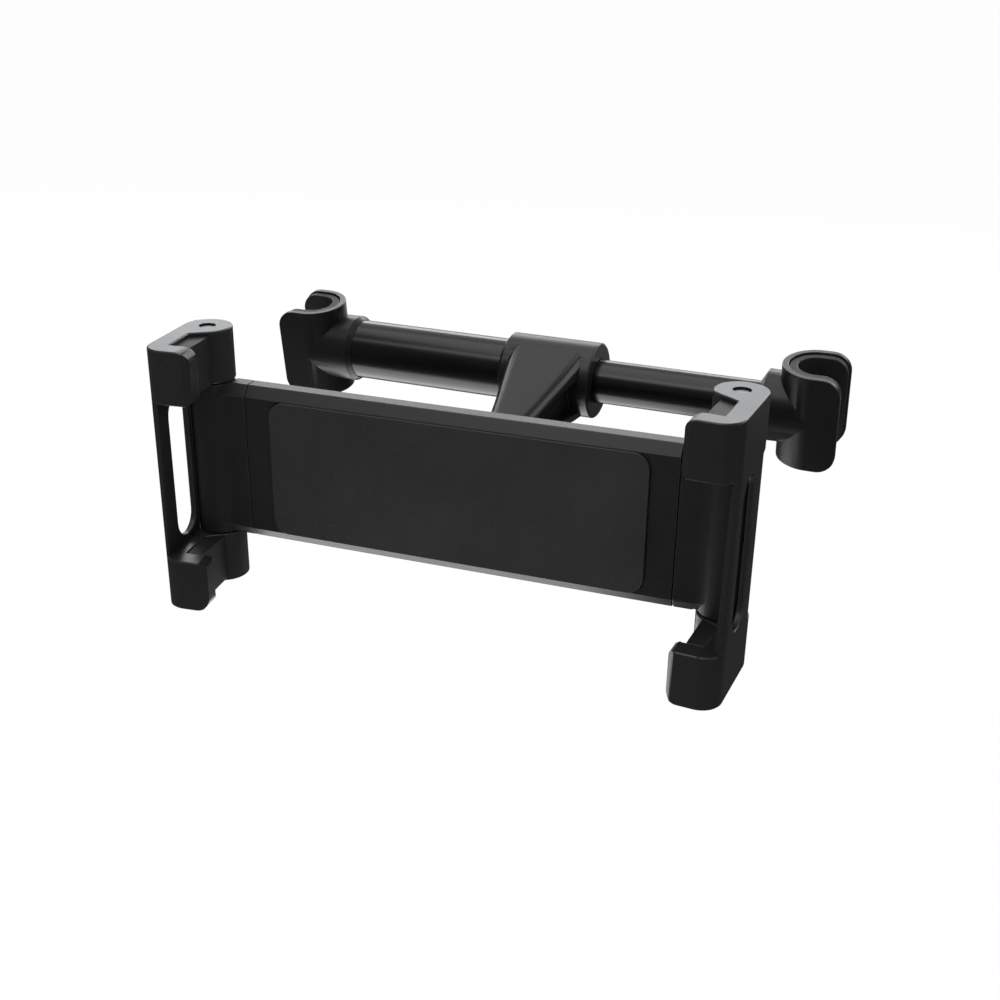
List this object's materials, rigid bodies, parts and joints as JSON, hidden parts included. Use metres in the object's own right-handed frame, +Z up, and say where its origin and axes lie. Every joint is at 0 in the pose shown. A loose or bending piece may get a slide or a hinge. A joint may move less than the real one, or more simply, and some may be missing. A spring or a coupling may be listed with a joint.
{
  "type": "headrest tablet mount",
  "caption": "Tablet holder for a car seat: spring-loaded bar between the headrest posts, ball joint, and a telescoping clamp with folding jaws.",
  "frame": {"origin": "centre of the pad's front face", "axes": "+X along the clamp to the viewer's right, +Y away from the user towards the headrest bar, +Z up; -Y is the outward normal of the pad"},
  "size_m": [0.1646, 0.1069, 0.0674],
  "materials": {
    "shell_plastic": "fine grain",
    "pad_rubber": "matt",
    "liner_rubber": "matt",
    "black_paint": "satin",
    "steel": "satin",
    "black_steel": "blackened",
    "nylon": "smooth"
  },
  "bodies": {
    "post_bar": {"collar_arm": "black_paint", "outer_tube": "black_paint", "left_hook": "shell_plastic", "left_hook_liner": "liner_rubber", "left_hook_screw": "black_steel", "mouth_bush": "nylon", "bar_spring": "steel", "ball_stud": "steel", "collar_screw": "black_steel"},
    "bar_slider": {"inner_tube": "black_paint", "right_hook": "shell_plastic", "right_hook_liner": "liner_rubber", "right_hook_screw": "black_steel", "guide_bush": "nylon"},
    "ball_shell": {"ball_liner": "nylon"},
    "joint_nut": {"ball_nut": "shell_plastic"},
    "clamp_body": {"tablet_pad": "pad_rubber", "front_shell": "shell_plastic", "rear_cover": "shell_plastic", "cover_screws": "black_steel", "pinion_pin": "steel"},
    "left_side": {"left_arm": "shell_plastic"},
    "right_side": {"right_arm": "shell_plastic"},
    "pinion": {"sync_pinion": "nylon", "return_spring": "steel"},
    "left_grip": {"left_jaw": "shell_plastic", "left_jaw_pin": "steel", "left_upper_pad": "liner_rubber", "left_lower_pad": "liner_rubber"},
    "right_grip": {"right_jaw": "shell_plastic", "right_jaw_pin": "steel", "right_upper_pad": "liner_rubber", "right_lower_pad": "liner_rubber"}
  },
  "joints": [
    {"name": "bar_slide", "type": "slide", "parent": "post_bar", "child": "bar_slider", "axis": [0.9991, -0.0427, 0], "range_m": [-0.03, 0], "stiffness_N_per_m": 250, "springref_m": 0.01, "deforming": ["bar_spring"]},
    {"name": "clamp_tilt", "type": "hinge", "parent": "post_bar", "child": "ball_shell", "pos_m": [0, 0.02195, 0], "axis": [1, 0, 0], "range_deg": [-5, 22]},
    {"name": "clamp_turn", "type": "hinge", "parent": "ball_shell", "child": "joint_nut", "pos_m": [0, 0.02195, 0], "axis": [0, 0, 1], "range_deg": [-14, 9]},
    {"name": "clamp_spin", "type": "hinge", "parent": "joint_nut", "child": "clamp_body", "pos_m": [0, 0.02195, 0], "axis": [0, 1, 0], "continuous": true},
    {"name": "left_slide", "type": "slide", "parent": "clamp_body", "child": "left_side", "axis": [-1, 0, 0], "range_m": [0, 0.046], "stiffness_N_per_m": 150, "springref_m": -0.02},
    {"name": "right_slide", "type": "slide", "parent": "clamp_body", "child": "right_side", "axis": [1, 0, 0], "range_m": [0, 0.046]},
    {"name": "pinion_turn", "type": "hinge", "parent": "clamp_body", "child": "pinion", "pos_m": [0, 0.0046, 0], "axis": [0, -1, 0], "range_deg": [0, 440]},
    {"name": "left_fold", "type": "hinge", "parent": "left_side", "child": "left_grip", "pos_m": [-0.066, 0.0046, 0], "axis": [0, 0, -1], "range_deg": [-40, 10]},
    {"name": "right_fold", "type": "hinge", "parent": "right_side", "child": "right_grip", "pos_m": [0.066, 0.0046, 0], "axis": [0, 0, 1], "range_deg": [-40, 10]}
  ],
  "couplings": [
    {"joint": "right_slide", "follows": "left_slide", "ratio": 1},
    {"joint": "pinion_turn", "follows": "left_slide", "rad_per_m": 166.67}
  ]
}
